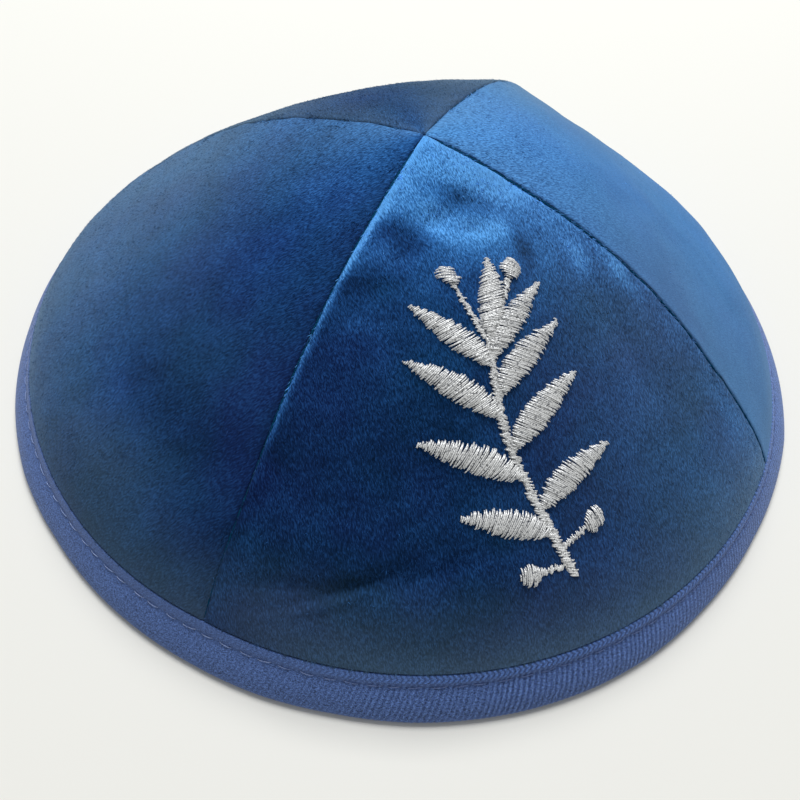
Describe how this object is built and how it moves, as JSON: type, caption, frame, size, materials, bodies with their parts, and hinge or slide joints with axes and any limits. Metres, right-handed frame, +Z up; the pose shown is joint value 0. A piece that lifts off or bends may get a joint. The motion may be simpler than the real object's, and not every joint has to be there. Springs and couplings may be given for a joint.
{
  "type": "velvet kippah skullcap",
  "caption": "Round velvet skullcap of sewn panels with a folded grosgrain ribbon rim and an embroidered sprig on the front, resting on its rim.",
  "frame": {"origin": "centre of the rim, on the surface that the cap rests on", "axes": "+Z up through the crown, -Y towards the front panel with the embroidery, +X to the right as seen from the front"},
  "size_m": [0.182, 0.182, 0.0627],
  "materials": {
    "velvet": "short directional pile, matt with a bright sheen at grazing angles",
    "ribbon": "ribbed grosgrain, matt",
    "silver_thread": "satin-stitched metallic thread, soft sparkle"
  },
  "bodies": {
    "root": {"front_panel": "velvet", "right_panel": "velvet", "back_panel": "velvet", "left_panel": "velvet", "rim_binding": "ribbon", "embroidered_sprig": "silver_thread"}
  },
  "joints": []
}
